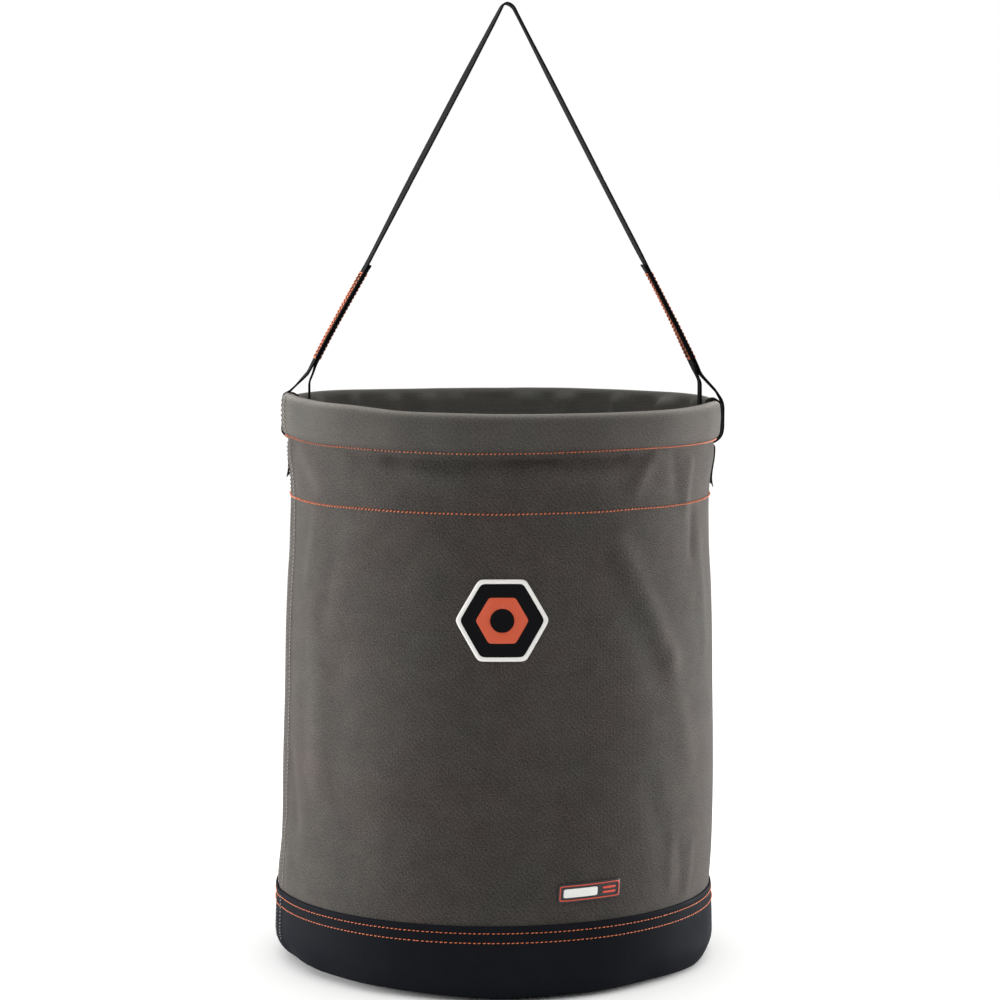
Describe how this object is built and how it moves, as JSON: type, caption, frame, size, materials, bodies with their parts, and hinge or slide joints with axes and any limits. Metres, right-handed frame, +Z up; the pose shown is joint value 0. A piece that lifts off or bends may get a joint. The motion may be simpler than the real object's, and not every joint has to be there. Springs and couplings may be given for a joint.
{
  "type": "canvas tool bucket",
  "caption": "Tall round canvas tool bucket with a hooped rolled rim, a leather base boot and a folding webbing lifting strap.",
  "frame": {"origin": "centre of the underside, where the bucket stands", "axes": "+Z up along the bucket's axis, +X to the right towards one end of the strap, -Y towards the front with the patch"},
  "size_m": [0.3458, 0.3404, 0.7334],
  "materials": {
    "canvas": "heavy plain-woven cotton duck canvas, matt, faintly mottled",
    "boot_leather": "black pebbled synthetic leather, low sheen",
    "webbing": "black flat polyester webbing, fine ribs across",
    "orange_thread": "orange polyester thread, lightly waxed",
    "grey_thread": "pale grey polyester thread",
    "hoop_plastic": "natural polyethylene strip",
    "rivet_steel": "zinc-plated steel",
    "base_board": "pressed black polypropylene board",
    "patch_black": "black embroidered field",
    "patch_white": "white satin-stitch border",
    "patch_orange": "orange embroidered fill",
    "tag_rubber": "black moulded soft PVC",
    "tag_white": "white moulded soft PVC",
    "tag_orange": "orange-red moulded soft PVC"
  },
  "bodies": {
    "bucket": {"canvas_shell": "canvas", "side_seam_flap": "canvas", "canvas_floor": "canvas", "rim_hoop": "hoop_plastic", "hoop_splice_plate": "hoop_plastic", "hoop_rivet_1": "rivet_steel", "hoop_rivet_2": "rivet_steel", "hoop_rivet_3": "rivet_steel", "hoop_rivet_4": "rivet_steel", "base_band": "boot_leather", "base_panel": "boot_leather", "base_stiffener": "base_board", "floor_binding": "webbing", "rim_stitch": "orange_thread", "hem_stitch": "orange_thread", "band_stitch_upper": "orange_thread", "band_stitch_lower": "orange_thread", "seam_stitch_front": "grey_thread", "seam_stitch_rear": "grey_thread", "left_rim_guard": "webbing", "right_rim_guard": "webbing", "left_guard_tail": "webbing", "right_guard_tail": "webbing", "left_strap_loop": "webbing", "right_strap_loop": "webbing", "patch_field": "patch_black", "patch_border": "patch_white", "patch_nut": "patch_orange", "tag_plate": "tag_rubber", "tag_border": "tag_orange", "tag_block": "tag_white", "tag_bar_upper": "tag_orange", "tag_bar_lower": "tag_orange"},
    "handle": {"left_strap_leg": "webbing", "right_strap_leg": "webbing", "left_strap_lap": "webbing", "right_strap_lap": "webbing", "left_box_stitch": "orange_thread", "right_box_stitch": "orange_thread"},
    "handle_top": {"strap_apex": "webbing"}
  },
  "joints": [
    {"name": "handle_swing", "type": "hinge", "parent": "bucket", "child": "handle", "pos_m": [0, 0, 0.4448], "axis": [1, 0, 0], "range_deg": [-90, 90]},
    {"name": "handle_droop", "type": "hinge", "parent": "handle", "child": "handle_top", "pos_m": [0, 0, 0.6328], "axis": [1, 0, 0], "range_deg": [-90, 90]}
  ]
}
